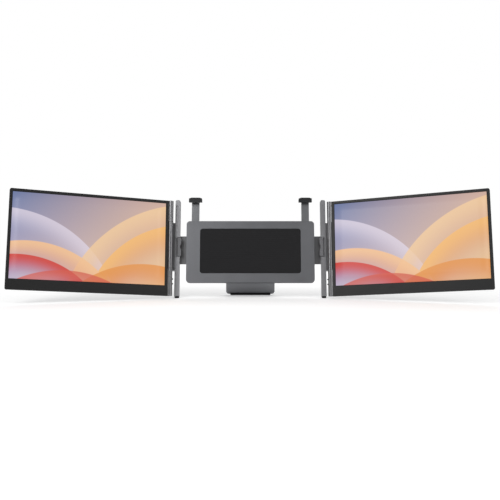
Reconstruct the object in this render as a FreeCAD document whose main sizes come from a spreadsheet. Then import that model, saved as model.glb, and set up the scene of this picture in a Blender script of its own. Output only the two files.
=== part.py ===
import FreeCAD, Part
import os
import Sketcher

# Fold-out screen extender: two side monitors on hinged columns that slide on a leaning centre body.
# Heights run up the leaning body from its lower end. Depths run forward of the rest pad's face.
# Monitor sizes run outward from the hinge axis, forward of it, and up it.

# Name, value in millimetres or degrees, and what it is.
DIMENSIONS = [
    ("lean", 12.5, "angle of the whole panel behind upright"),
    ("origin_height", 115.0, "height of the origin, the centre of the rest pad's face"),
    ("slide_gap", 0.3, "clearance round sliding pieces"),
    ("fit_gap", 0.02, "radial clearance of pins in their seats"),
    ("run_gap", 0.05, "radial clearance of pins that turn"),
    ("column_gap", 14.8, "side of the centre body to a column with the arms in"),
    ("body_bottom", 40.0, "lower edge of the centre body"),
    ("body_top", 186.0, "upper edge of the centre body"),
    ("body_round", 8.0, "corner radius of the centre body"),
    ("shell_depth", 11.5, "rear face of the centre body behind the pad's face"),
    ("shell_wall", 1.5, "rear wall of the centre body"),
    ("shell_side", 2.0, "side walls of the centre body"),
    ("plate_thick", 1.6, "front plate of the centre body"),
    ("pad_thick", 1.2, "rest pad"),
    ("pad_side", 32.0, "side of the rest pad from the side of the centre body"),
    ("pad_reach", 53.0, "half height of the rest pad"),
    ("pad_round", 6.0, "corner radius of the rest pad"),
    ("screw_side", 6.0, "outer body screws from the sides of the centre body"),
    ("screw_inset", 8.0, "body screws from the upper and lower edges"),
    ("screw_head", 2.5, "head radius of a body screw"),
    ("screw_head_thick", 1.2, "head thickness of a body screw"),
    ("screw_shank", 1.2, "shank radius of a body screw"),
    ("screw_bite", 1.0, "length of a body screw inside the front plate"),
    ("boss_radius", 3.0, "screw boss of the centre body"),
    ("rail_width", 4.0, "width of an arm rail"),
    ("rail_inset", 1.0, "rail end to the side wall"),
    ("arm_front", 5.0, "front face of the arm plates behind the pad's face"),
    ("arm_thick", 3.6, "arm plate"),
    ("arm_bottom", 84.0, "lower edge of the arm plates"),
    ("arm_top", 150.0, "upper edge of the arm plates"),
    ("arm_inner", 62.0, "inner end of an arm plate from the middle"),
    ("arm_tongue", 1.5, "length of the arm inside its column"),
    ("post_half", 5.7, "half width of the spring post"),
    ("post_reach", 6.0, "half height of the spring post"),
    ("coil_radius", 2.1, "spring radius to the middle of its wire"),
    ("wire_radius", 0.4, "radius of the spring wire"),
    ("coil_pitch", 3.2, "spring pitch, drawn out"),
    ("stem_thick", 1.3, "clip stem"),
    ("stem_half", 9.0, "half width of a clip stem"),
    ("stem_gap", 0.1, "clip stem to the front plate"),
    ("stem_bottom", 140.0, "lower end of the clip stems"),
    ("stem_bury", 7.0, "length of a stem inside its clip"),
    ("clip_inset", 20.7, "middle of a clip from the side of the centre body"),
    ("clip_half", 15.3, "half width of a clip"),
    ("clip_top", 240.5, "top of the clips"),
    ("clip_roof", 3.8, "thickness of a clip above what it holds"),
    ("clip_leg_bottom", 231.5, "lower end of a clip behind what it holds"),
    ("clip_lip_bottom", 229.0, "lower end of a clip in front of what it holds"),
    ("clip_back", 5.2, "rear face of a clip behind the pad's face"),
    ("clip_leg_front", 0.4, "front face of a clip's leg behind the pad's face"),
    ("clip_shoulder", 2.2, "drop of a clip's sloped shoulders"),
    ("clip_slope", 6.0, "width of a clip's sloped shoulders"),
    ("clip_round", 1.2, "edge radius of a clip's lip"),
    ("slot_depth", 7.0, "thickness that the clips and grippers close on"),
    ("lip_gap", 0.5, "room in front of that thickness"),
    ("lip_thick", 1.8, "clip lips and gripper plates"),
    ("column_inner", 164.8, "inner side of a column from the middle"),
    ("column_width", 11.2, "width of a column"),
    ("column_bottom", 7.5, "lower end of a column"),
    ("column_top", 234.8, "upper end of a column"),
    ("column_back", 9.0, "rear of a column behind the pad's face"),
    ("column_round", 3.5, "top corner radius of a column"),
    ("column_wall", 1.6, "wall of a column"),
    ("cover_thick", 1.1, "front cover of a column"),
    ("cavity_low_top", 80.0, "upper end of a column's lower cavity"),
    ("cavity_high_bottom", 154.0, "lower end of a column's upper cavity"),
    ("foot_tall", 3.42947, "rubber foot below its column, under the pad's face"),
    ("foot_inset", 1.0, "rubber foot inside its column's outline"),
    ("grip_bottom", 99.4, "lower end of a gripper's pocket"),
    ("grip_top", 145.8, "upper end of a gripper's pocket"),
    ("grip_end_gap", 1.6, "gripper to the ends of its pocket"),
    ("grip_pocket", 9.2, "width of a gripper's pocket"),
    ("grip_pin_in", 4.2, "gripper pin from the inner side of its column"),
    ("grip_pin_depth", 4.6, "gripper pin in front of the pad's face"),
    ("grip_pin_radius", 0.9, "gripper pin"),
    ("grip_pin_end", 2.0, "length of a gripper pin in each end of the column"),
    ("grip_barrel", 2.4, "barrel radius of a gripper"),
    ("grip_reach", 3.5, "gripper plate past the column's inner side"),
    ("grip_scallop", 9.0, "radius of the hollow between a gripper's lobes"),
    ("grip_scallop_deep", 2.6, "depth of that hollow"),
    ("grip_round", 2.4, "corner radius of a gripper's lobes"),
    ("grip_pad_thick", 0.4, "rubber on a gripper"),
    ("grip_pad_inset", 0.4, "rubber inside the gripper's edges"),
    ("hinge_out", 9.0, "monitor hinge axis from the outer side of its column"),
    ("right_axis_depth", 12.5, "right hinge axis in front of the pad's face"),
    ("stack_gap", 0.6, "room between the two monitors when both are folded in"),
    ("hinge_low", 67.4, "lower end of a hinge barrel"),
    ("hinge_high", 179.0, "upper end of a hinge barrel"),
    ("hinge_gap", 0.3, "hinge barrel to the monitor's strips"),
    ("barrel_radius", 5.6, "hinge barrel and hinge strips"),
    ("hinge_post_front", 9.7, "front of a hinge barrel's foot"),
    ("hinge_post_clear", 5.5, "web of a hinge barrel inside its axis"),
    ("hinge_pin_radius", 2.5, "hinge pin"),
    ("hinge_pin_out", 15.0, "length of a hinge pin inside a strip"),
    ("hinge_pin_in", 29.6, "length of a hinge pin inside the barrel"),
    ("bush_radius", 4.0, "outer radius of a hinge bush"),
    ("bush_length", 26.0, "length of a hinge bush"),
    ("bush_inset", 0.4, "hinge bush inside the end of its barrel"),
    ("bore_spare", 1.0, "barrel bore past the end of its pin"),
    ("monitor_inner", 5.9, "inner edge of a monitor from its hinge axis"),
    ("monitor_bottom", 6.0, "lower edge of a monitor"),
    ("monitor_front", 2.5, "front of a monitor before its hinge axis"),
    ("monitor_thick", 8.0, "thickness of a monitor"),
    ("monitor_round", 4.0, "outer corner radius of a monitor"),
    ("picture_wide", 344.16, "picture of a 15.6 inch panel"),
    ("picture_tall", 193.59, "picture of a 15.6 inch panel"),
    ("bezel", 6.0, "border at the sides and top of the picture"),
    ("chin", 23.2, "border below the picture"),
    ("bezel_thick", 1.2, "front face of the bezel frame"),
    ("frame_wall", 1.2, "side walls of the monitor"),
    ("part_line", 4.5, "rear edge of the bezel frame behind the monitor's front"),
    ("part_gap", 0.1, "gap between stacked monitor pieces"),
    ("glass_thick", 2.1, "display panel"),
    ("glass_margin", 2.0, "display panel past the picture"),
    ("light_thick", 2.4, "backlight"),
    ("light_inset", 0.6, "backlight inside the display panel's outline"),
    ("cover_wall", 1.3, "rear wall of a monitor"),
    ("cover_chamfer", 1.0, "bevel round the rear of a monitor"),
    ("board_start", 20.0, "inner end of a driver board from the hinge axis"),
    ("board_long", 160.0, "length of a driver board"),
    ("board_low", 8.0, "lower edge of a driver board"),
    ("board_high", 25.0, "upper edge of a driver board"),
    ("board_thick", 1.2, "driver board"),
    ("port_deep", 6.6, "depth of a socket"),
    ("port_inset", 0.4, "socket inside the monitor's lower edge"),
    ("port_tall", 2.6, "height of a socket"),
    ("port_wall", 0.35, "sheet of a socket's shell"),
    ("port_tongue", 1.9, "tongue of a socket inside its sides"),
    ("port_gap", 0.2, "clearance round a socket"),
    ("usb_half", 4.4, "half width of a small data socket"),
    ("video_half", 5.6, "half width of the video socket"),
    ("first_port", 30.0, "first socket from the hinge axis"),
    ("port_step", 15.0, "distance between sockets"),
    ("fixing_height", 11.0, "height of the cover screws"),
    ("fixing_inset", 11.0, "cover screws from the hinge axis, the board and the outer edge"),
    ("fixing_boss", 2.2, "boss radius of a cover screw"),
    ("fixing_head", 1.8, "head radius of a cover screw"),
    ("fixing_head_thick", 0.9, "head thickness of a cover screw"),
    ("fixing_shank", 0.9, "shank radius of a cover screw"),
    ("fixing_bite", 2.3, "length of a cover screw inside its frame boss"),
    ("strip_edge", 5.8, "outer side of a hinge strip from its axis"),
    ("strip_bottom", 6.5, "lower end of the lower hinge strip"),
    ("button_radius", 1.6, "power and menu buttons"),
    ("button_out", 2.0, "how far a button stands out"),
    ("button_long", 4.1, "length of a button"),
    ("button_travel", 0.8, "travel of a button"),
    ("button_gap", 0.1, "clearance round a button"),
    ("button_round", 0.5, "edge radius of a button"),
    ("power_height", 45.6, "height of the power button"),
    ("menu_height", 34.5, "height of the menu button"),
    ("right_open", 21.0, "angle of the right monitor forward of the panel"),
    ("left_open", 20.0, "angle of the left monitor forward of the panel"),
    ("leg_pivot_depth", 15.3, "kickstand pin behind the pad's face"),
    ("leg_pivot_height", 150.0, "height of the kickstand pin"),
    ("leg_splay", 9.0, "angle of the kickstand behind upright"),
    ("leg_half", 58.0, "half width of the kickstand"),
    ("leg_thick", 2.5, "kickstand plate"),
    ("leg_barrel", 3.3, "barrel radius of the kickstand"),
    ("leg_pin", 1.5, "radius of the kickstand pin"),
    ("lug_wide", 10.0, "width of a kickstand lug"),
    ("leg_round", 7.0, "lower corner radius of the kickstand"),
    ("leg_foot_tall", 6.0, "height of the kickstand's rubber foot"),
    ("leg_foot_grip", 3.0, "length of the kickstand plate inside its rubber foot"),
    ("leg_foot_lap", 0.9, "rubber foot before and behind the plate"),
    ("leg_foot_inset", 10.0, "rubber foot inside the plate's ends"),
]

SIDES = ("left", "right")

doc = FreeCAD.newDocument("screen_extender")
sheet = doc.addObject("Spreadsheet::Sheet", "dim")
for row, (alias, size, note) in enumerate(DIMENSIONS, start=1):
    sheet.set(f"A{row}", note)
    sheet.set(f"B{row}", str(size))
    sheet.setAlias(f"B{row}", alias)
doc.recompute()

nodes = []


def value(text):
    """Number that an expression of the sheet's cells gives."""
    return float(sheet.evalExpression(text))


def cell(name):
    """Number in one cell of the sheet."""
    return value(f"dim.{name}")


# Sizes that several pieces share, as expressions of the sheet's cells.
BODY_HALF = "(dim.column_inner - dim.column_gap)"
PAD_HALF = f"({BODY_HALF} - dim.pad_side)"
SCREW_ACROSS = f"({BODY_HALF} - dim.screw_side)"
CLIP_ACROSS = f"({BODY_HALF} - dim.clip_inset)"
PLATE_FRONT = "(-dim.pad_thick)"
PLATE_BACK = "(-dim.pad_thick - dim.plate_thick)"
SHELL_BACK = "(-dim.shell_depth)"
SHELL_FLOOR = "(-dim.shell_depth + dim.shell_wall)"
ARM_FRONT = "(-dim.arm_front)"
ARM_BACK = "(-dim.arm_front - dim.arm_thick)"
RAIL_FRONT = "(-dim.arm_front + dim.slide_gap)"
STEM_FRONT = f"({PLATE_BACK} - dim.stem_gap)"
STEM_BACK = f"({STEM_FRONT} - dim.stem_thick)"
LIP_BACK = "(dim.slot_depth + dim.lip_gap)"
LIP_FRONT = "(dim.slot_depth + dim.lip_gap + dim.lip_thick)"
COLUMN_OUTER = "(dim.column_inner + dim.column_width)"
GRIP_PIN_ACROSS = "(dim.column_inner + dim.grip_pin_in)"
HINGE_ACROSS = f"({COLUMN_OUTER} + dim.hinge_out)"
COVER_BACK = "(dim.slot_depth - dim.cover_thick)"
MONITOR_OUTER = "(dim.monitor_inner + dim.bezel * 2 + dim.picture_wide)"
MONITOR_TOP = "(dim.monitor_bottom + dim.chin + dim.picture_tall + dim.bezel)"
MONITOR_BACK = "(dim.monitor_front - dim.monitor_thick)"
PART_LINE = "(dim.monitor_front - dim.part_line)"
PICTURE_INNER = "(dim.monitor_inner + dim.bezel)"
PICTURE_OUTER = "(dim.monitor_inner + dim.bezel + dim.picture_wide)"
PICTURE_LOW = "(dim.monitor_bottom + dim.chin)"
PICTURE_HIGH = "(dim.monitor_bottom + dim.chin + dim.picture_tall)"
BEZEL_BACK = "(dim.monitor_front - dim.bezel_thick)"
GLASS_FRONT = f"({BEZEL_BACK} - dim.part_gap)"
GLASS_BACK = f"({GLASS_FRONT} - dim.glass_thick)"
LIGHT_FRONT = f"({GLASS_BACK} - dim.part_gap)"
LIGHT_BACK = f"({LIGHT_FRONT} - dim.light_thick)"
COVER_FRONT = f"({PART_LINE} - dim.part_gap)"
COVER_FLOOR = f"({MONITOR_BACK} + dim.cover_wall)"
BOARD_FRONT = PART_LINE
BOARD_BACK = f"({BOARD_FRONT} - dim.board_thick)"
LOW_STRIP_TOP = "(dim.hinge_low - dim.hinge_gap)"
HIGH_STRIP_BOTTOM = "(dim.hinge_high + dim.hinge_gap)"
DESK_DROP = "((dim.origin_height - dim.column_bottom + dim.foot_tall) * cos(dim.lean * 1deg))"
LEG_RISE = (
    f"({DESK_DROP} - dim.leg_pivot_depth * sin(dim.lean * 1deg)"
    " + (dim.leg_pivot_height - dim.origin_height) * cos(dim.lean * 1deg))"
)


FIRST_FIXING = "dim.fixing_inset"
SECOND_FIXING = "(dim.board_start + dim.board_long + dim.fixing_inset)"
LAST_FIXING = f"({MONITOR_OUTER} - dim.fixing_inset)"
THIRD_FIXING = f"(({SECOND_FIXING} + {LAST_FIXING}) / 2)"
FIXINGS = (FIRST_FIXING, SECOND_FIXING, THIRD_FIXING, LAST_FIXING)


def axis_depth(side):
    """Depth of a hinge axis: the left one clears the thickness of the folded right monitor."""
    if side == "right":
        return "dim.right_axis_depth"
    return "(dim.right_axis_depth + dim.monitor_thick + dim.stack_gap)"


def desk_height(depth):
    """Height up the leaning panel at which a depth meets the desk."""
    return (
        f"(dim.origin_height - ({DESK_DROP} + ({depth}) * sin(dim.lean * 1deg))"
        " / cos(dim.lean * 1deg))"
    )


def leg_end(depth):
    """Height in the kickstand's own frame at which a depth meets the desk."""
    return f"(-({LEG_RISE} - ({depth}) * sin(dim.leg_splay * 1deg)) / cos(dim.leg_splay * 1deg))"


def placed(across, depth, height):
    """Move to a place given as across, forward depth and height."""
    return FreeCAD.Placement(FreeCAD.Vector(across, -depth, height), FreeCAD.Rotation())


def turned(axis, degrees):
    """Turn about one of the frame's axes."""
    return FreeCAD.Placement(FreeCAD.Vector(), FreeCAD.Rotation(axis, degrees))


ACROSS = FreeCAD.Vector(1, 0, 0)
BACKWARD = FreeCAD.Vector(0, 1, 0)
UPWARD = FreeCAD.Vector(0, 0, 1)

# Frames: the leaning panel, the two monitors about their hinges, and the kickstand about its pin.
PANEL = turned(ACROSS, -cell("lean")) * placed(0, 0, -cell("origin_height"))
MONITOR = {
    "right": PANEL
    * placed(value(HINGE_ACROSS), value(axis_depth("right")), 0)
    * turned(UPWARD, -cell("right_open")),
    "left": PANEL
    * placed(-value(HINGE_ACROSS), value(axis_depth("left")), 0)
    * turned(UPWARD, cell("left_open")),
}
LEG = (
    PANEL
    * placed(0, -cell("leg_pivot_depth"), cell("leg_pivot_height"))
    * turned(ACROSS, cell("lean") + cell("leg_splay"))
)

PLANES = {"depth": "XZ_Plane", "height": "XY_Plane", "across": "YZ_Plane"}


def rectangle(left, right, low, high):
    """Corners of a rectangle."""
    return [(left, low), (right, low), (right, high), (left, high)]


def negative(text):
    return f"-({text})"


def on_sketch(direction, side, point):
    """Sketch coordinates of a point written as across and depth, across and height, or depth and height."""
    first, second = point
    if direction == "across" or side == "left":
        first = negative(first)
    if direction == "height":
        second = negative(second)
    return first, second


def add_circle(sketch, centre, radius):
    index = sketch.addGeometry(
        Part.Circle(FreeCAD.Vector(value(centre[0]), value(centre[1]), 0), UPWARD, value(radius)), False
    )
    for kind, text in (("DistanceX", centre[0]), ("DistanceY", centre[1])):
        number = sketch.addConstraint(Sketcher.Constraint(kind, -1, 1, index, 3, value(text)))
        sketch.setExpression(f"Constraints[{number}]", text)
    number = sketch.addConstraint(Sketcher.Constraint("Radius", index, value(radius)))
    sketch.setExpression(f"Constraints[{number}]", radius)


def add_polygon(sketch, corners):
    first = sketch.GeometryCount
    count = len(corners)
    spots = [FreeCAD.Vector(value(x), value(y), 0) for x, y in corners]
    for step in range(count):
        sketch.addGeometry(Part.LineSegment(spots[step], spots[(step + 1) % count]), False)
    for step in range(count):
        link = Sketcher.Constraint("Coincident", first + step, 2, first + (step + 1) % count, 1)
        sketch.addConstraint(link)
    for step, corner in enumerate(corners):
        for kind, text in zip(("DistanceX", "DistanceY"), corner):
            number = sketch.addConstraint(Sketcher.Constraint(kind, -1, 1, first + step, 1, value(text)))
            sketch.setExpression(f"Constraints[{number}]", text)


def draw(body, direction, side, level, loops):
    """Sketch of corner lists, and of circles as (across, up, radius), on one of the body's planes."""
    sketch = body.newObject("Sketcher::SketchObject", f"{body.Name}_sketch")
    plane = [item for item in body.Origin.OriginFeatures if item.Role == PLANES[direction]][0]
    sketch.AttachmentSupport = (plane, [""])
    sketch.MapMode = "FlatFace"
    sketch.setExpression("AttachmentOffset.Base.z", level)
    for loop in loops:
        if isinstance(loop, tuple):
            add_circle(sketch, on_sketch(direction, side, loop[:2]), loop[2])
        else:
            add_polygon(sketch, [on_sketch(direction, side, corner) for corner in loop])
    return sketch


def extrude(body, kind, direction, start, end, loops, side):
    """Pad or pocket between two depths, heights or distances across, mirrored for the left side."""
    level = end if direction == "depth" else start
    if direction == "across" and side == "left":
        level = negative(end)
    sketch = draw(body, direction, side, level, loops)
    feature = body.newObject(kind, f"{body.Name}_feature")
    feature.Profile = sketch
    feature.setExpression("Length", f"({end}) - ({start})")
    feature.Reversed = (direction == "depth") == (kind == "PartDesign::Pad")
    doc.recompute()
    return feature


def add(body, direction, start, end, *loops, side="right"):
    """Material between two levels."""
    extrude(body, "PartDesign::Pad", direction, start, end, loops, side)


def cut(body, direction, start, end, *loops, side="right"):
    """Pocket between two levels, which must take something away."""
    before = body.Tip.Shape.Volume
    feature = extrude(body, "PartDesign::Pocket", direction, start, end, loops, side)
    if feature.Shape.Volume > before - 1e-6:
        raise RuntimeError(f"{body.Name}: a pocket cuts nothing")


def edges_along(shape, axis, chosen):
    """Names of the straight edges along an axis whose middle a test picks."""
    names = []
    for number, edge in enumerate(shape.Edges, start=1):
        straight = isinstance(edge.Curve, Part.Line)
        if straight and near(abs(edge.tangentAt(edge.FirstParameter).dot(axis)), 1):
            middle = edge.valueAt((edge.FirstParameter + edge.LastParameter) / 2)
            if chosen(abs(middle.x), -middle.y, middle.z):
                names.append(f"Edge{number}")
    return names


def dress(body, kind, quantity, size, names):
    """Fillet or chamfer on named edges of the body's last feature."""
    base = body.Tip
    feature = body.newObject(kind, f"{body.Name}_dressing")
    feature.Base = (base, names)
    feature.setExpression(quantity, size)
    body.Tip = feature
    doc.recompute()


def round_edges(body, size, axis, chosen=lambda across, depth, height: True):
    """Fillet on straight edges."""
    dress(body, "PartDesign::Fillet", "Radius", size, edges_along(body.Tip.Shape, axis, chosen))


def new_body(name):
    return doc.addObject("PartDesign::Body", name)


def keep(piece, frame):
    """Put a finished piece in its frame and list it as a node."""
    piece.Placement = frame
    nodes.append(piece)


def keep_group(name, frame, members):
    """One node of several separate solids."""
    group = doc.addObject("Part::Compound", name)
    group.Links = members
    doc.recompute()
    keep(group, frame)


def near(first, second):
    return abs(first - second) < 0.01


# Centre body
def body_screw_places():
    """Across and height of the six body screws."""
    low = "(dim.body_bottom + dim.screw_inset)"
    high = "(dim.body_top - dim.screw_inset)"
    columns = (negative(SCREW_ACROSS), "0", SCREW_ACROSS)
    return [(across, height) for across in columns for height in (low, high)]


def body_outline():
    return rectangle(negative(BODY_HALF), BODY_HALF, "dim.body_bottom", "dim.body_top")


def make_front_plate():
    body = new_body("centre_front_plate")
    add(body, "depth", PLATE_BACK, PLATE_FRONT, body_outline())
    round_edges(body, "dim.body_round", BACKWARD)
    holes = [(x, z, "dim.screw_shank + dim.fit_gap") for x, z in body_screw_places()]
    cut(body, "depth", PLATE_BACK, f"{PLATE_BACK} + dim.screw_bite", *holes)
    keep(body, PANEL)


def make_rear_shell():
    body = new_body("centre_rear_shell")
    add(body, "depth", SHELL_BACK, PLATE_BACK, body_outline())
    round_edges(body, "dim.body_round", BACKWARD)
    inside = rectangle(
        f"-{BODY_HALF} + dim.shell_side",
        f"{BODY_HALF} - dim.shell_side",
        "dim.body_bottom + dim.shell_side",
        "dim.body_top - dim.shell_side",
    )
    cut(body, "depth", SHELL_FLOOR, PLATE_BACK, inside)
    bosses = [(x, z, "dim.boss_radius") for x, z in body_screw_places()]
    add(body, "depth", SHELL_FLOOR, PLATE_BACK, *bosses)
    shanks = [(x, z, "dim.screw_shank + dim.fit_gap") for x, z in body_screw_places()]
    cut(body, "depth", SHELL_BACK, PLATE_BACK, *shanks)
    heads = [(x, z, "dim.screw_head + dim.fit_gap") for x, z in body_screw_places()]
    cut(body, "depth", SHELL_BACK, f"{SHELL_BACK} + dim.screw_head_thick", *heads)
    middle = "(dim.arm_bottom + dim.arm_top) / 2"
    post_low = f"{middle} - dim.post_reach"
    post = rectangle("-dim.post_half", "dim.post_half", post_low, f"{middle} + dim.post_reach")
    add(body, "depth", SHELL_FLOOR, RAIL_FRONT, post)
    arm_slot = rectangle(
        f"{ARM_BACK} - dim.slide_gap",
        f"{ARM_FRONT} + dim.slide_gap",
        "dim.arm_bottom - dim.slide_gap",
        "dim.arm_top + dim.slide_gap",
    )
    stem_slot = rectangle(
        f"{CLIP_ACROSS} - dim.stem_half - dim.slide_gap",
        f"{CLIP_ACROSS} + dim.stem_half + dim.slide_gap",
        f"{STEM_BACK} - dim.slide_gap",
        PLATE_BACK,
    )
    for side in SIDES:
        cut(body, "across", f"{BODY_HALF} - dim.shell_side", BODY_HALF, arm_slot, side=side)
        cut(body, "height", "dim.body_top - dim.shell_side", "dim.body_top", stem_slot, side=side)
        inner = "dim.leg_half + dim.slide_gap"
        outer = f"{inner} + dim.lug_wide"
        lug = rectangle(
            "-dim.leg_pivot_depth",
            SHELL_BACK,
            "dim.leg_pivot_height - dim.leg_barrel",
            "dim.leg_pivot_height + dim.leg_barrel",
        )
        add(body, "across", inner, outer, lug, side=side)
        pivot = ("-dim.leg_pivot_depth", "dim.leg_pivot_height")
        add(body, "across", inner, outer, (*pivot, "dim.leg_barrel"), side=side)
        bore = (*pivot, "dim.leg_pin + dim.fit_gap")
        cut(body, "across", inner, outer, bore, side=side)
    keep(body, PANEL)


def make_rest_pad():
    body = new_body("rest_pad")
    low = "dim.origin_height - dim.pad_reach"
    high = "dim.origin_height + dim.pad_reach"
    add(body, "depth", PLATE_FRONT, "0", rectangle(negative(PAD_HALF), PAD_HALF, low, high))
    round_edges(body, "dim.pad_round", BACKWARD)
    keep(body, PANEL)


def make_arm_rails():
    reach = f"{BODY_HALF} - dim.shell_side - dim.rail_inset"
    lows = ("dim.arm_bottom - dim.slide_gap - dim.rail_width", "dim.arm_top + dim.slide_gap")
    rails = []
    for number, low in enumerate(lows, start=1):
        rail = new_body(f"arm_rail_{number}")
        outline = rectangle(negative(reach), reach, low, f"{low} + dim.rail_width")
        add(rail, "depth", SHELL_FLOOR, RAIL_FRONT, outline)
        rails.append(rail)
    keep_group("arm_rails", PANEL, rails)


def make_centre_screws():
    screws = []
    for number, (across, height) in enumerate(body_screw_places(), start=1):
        screw = new_body(f"centre_screw_{number}")
        head_end = f"{SHELL_BACK} + dim.screw_head_thick"
        add(screw, "depth", SHELL_BACK, head_end, (across, height, "dim.screw_head"))
        add(screw, "depth", head_end, f"{PLATE_BACK} + dim.screw_bite", (across, height, "dim.screw_shank"))
        screws.append(screw)
    keep_group("centre_screws", PANEL, screws)


# Kickstand, in a frame with its pin at the origin and the plate hanging down
def make_kickstand():
    leg = new_body("kickstand_leg")
    half = "dim.leg_thick / 2"
    foot_top = f"{leg_end('0')} + dim.leg_foot_tall"
    add(leg, "across", "-dim.leg_half", "dim.leg_half", ("0", "0", "dim.leg_barrel"))
    plate = rectangle("-dim.leg_half", "dim.leg_half", f"{foot_top} - dim.leg_foot_grip", "0")
    add(leg, "depth", negative(half), half, plate)
    lowest = value(f"{foot_top} - dim.leg_foot_grip")
    side_edge = cell("leg_half")

    def at_lower_corner(across, depth, height):
        return near(across, side_edge) and near(height, lowest)

    round_edges(leg, "dim.leg_round", BACKWARD, at_lower_corner)
    cut(leg, "across", "-dim.leg_half", "dim.leg_half", ("0", "0", "dim.leg_pin + dim.run_gap"))
    keep(leg, LEG)

    pin = new_body("kickstand_pin")
    reach = "dim.leg_half + dim.slide_gap + dim.lug_wide"
    add(pin, "across", negative(reach), reach, ("0", "0", "dim.leg_pin"))
    keep(pin, LEG)

    foot = new_body("kickstand_foot")
    lap = "dim.leg_thick / 2 + dim.leg_foot_lap"
    profile = [
        (negative(lap), leg_end(negative(lap))),
        (lap, leg_end(lap)),
        (lap, foot_top),
        (negative(lap), foot_top),
    ]
    inset = "dim.leg_half - dim.leg_foot_inset"
    add(foot, "across", negative(inset), inset, profile)
    slot = rectangle(negative(half), half, f"{foot_top} - dim.leg_foot_grip", foot_top)
    cut(foot, "across", negative(inset), inset, slot)
    keep(foot, LEG)


# Sliding arms, columns, clips and grippers
def make_arm(side):
    body = new_body(f"{side}_arm_plate")
    outer = "dim.column_inner + dim.arm_tongue"
    outline = rectangle("dim.arm_inner", outer, "dim.arm_bottom", "dim.arm_top")
    add(body, "depth", ARM_BACK, ARM_FRONT, outline, side=side)
    keep(body, PANEL)


def make_slide_spring(side):
    body = new_body(f"{side}_slide_spring")
    start = "dim.post_half + dim.slide_gap + dim.wire_radius"
    end = "dim.arm_inner - dim.slide_gap - dim.wire_radius"
    sketch = draw(body, "height", "right", "0", [(start, "-dim.coil_radius", "dim.wire_radius")])
    coil = body.newObject("PartDesign::AdditiveHelix", f"{side}_coil")
    coil.Profile = sketch
    coil.ReferenceAxis = (sketch, ["H_Axis"])
    coil.Mode = 0
    coil.setExpression("Pitch", "dim.coil_pitch")
    coil.setExpression("Height", f"({end}) - ({start})")
    doc.recompute()
    middle = value("(dim.arm_bottom + dim.arm_top) / 2")
    depth = value(f"({ARM_FRONT} + {ARM_BACK}) / 2")
    facing = turned(UPWARD, 0 if side == "right" else 180)
    keep(body, PANEL * placed(0, depth, middle) * facing)


def column_outline():
    return rectangle("dim.column_inner", COLUMN_OUTER, "dim.column_bottom", "dim.column_top")


def gripper_pocket():
    outer = "dim.column_inner + dim.grip_pocket"
    return rectangle("dim.column_inner", outer, "dim.grip_bottom", "dim.grip_top")


def round_column_top(body):
    top = cell("column_top")
    round_edges(body, "dim.column_round", BACKWARD, lambda across, depth, height: near(height, top))


def make_column(side):
    body = new_body(f"{side}_column")
    add(body, "depth", "-dim.column_back", COVER_BACK, column_outline(), side=side)
    round_column_top(body)
    inner = "dim.column_inner + dim.column_wall"
    outer = f"{COLUMN_OUTER} - dim.column_wall"
    floor = "-dim.column_back + dim.column_wall"
    low = rectangle(inner, outer, "dim.column_bottom + dim.column_wall", "dim.cavity_low_top")
    high = rectangle(inner, outer, "dim.cavity_high_bottom", "dim.column_top - dim.column_round")
    cut(body, "depth", floor, COVER_BACK, low, high, side=side)
    pocket_floor = "dim.grip_pin_depth - dim.grip_barrel - dim.slide_gap"
    cut(body, "depth", pocket_floor, COVER_BACK, gripper_pocket(), side=side)
    mortise = rectangle(ARM_BACK, ARM_FRONT, "dim.arm_bottom", "dim.arm_top")
    cut(body, "across", "dim.column_inner", "dim.column_inner + dim.arm_tongue", mortise, side=side)
    bore = (GRIP_PIN_ACROSS, "dim.grip_pin_depth", "dim.grip_pin_radius + dim.fit_gap")
    low_end = "dim.grip_bottom - dim.grip_pin_end"
    high_end = "dim.grip_top + dim.grip_pin_end"
    cut(body, "height", low_end, high_end, bore, side=side)
    keep(body, PANEL)


def make_column_cover(side):
    body = new_body(f"{side}_column_cover")
    add(body, "depth", COVER_BACK, "dim.slot_depth", column_outline(), side=side)
    round_column_top(body)
    cut(body, "depth", COVER_BACK, "dim.slot_depth", gripper_pocket(), side=side)
    keep(body, PANEL)


def make_column_foot(side):
    body = new_body(f"{side}_column_foot")
    back = "(-dim.column_back + dim.foot_inset)"
    front = "(dim.slot_depth - dim.foot_inset)"
    profile = [
        (back, "dim.column_bottom"),
        (back, desk_height(back)),
        (front, desk_height(front)),
        (front, "dim.column_bottom"),
    ]
    inner = "dim.column_inner + dim.foot_inset"
    add(body, "across", inner, f"{COLUMN_OUTER} - dim.foot_inset", profile, side=side)
    keep(body, PANEL)


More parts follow.
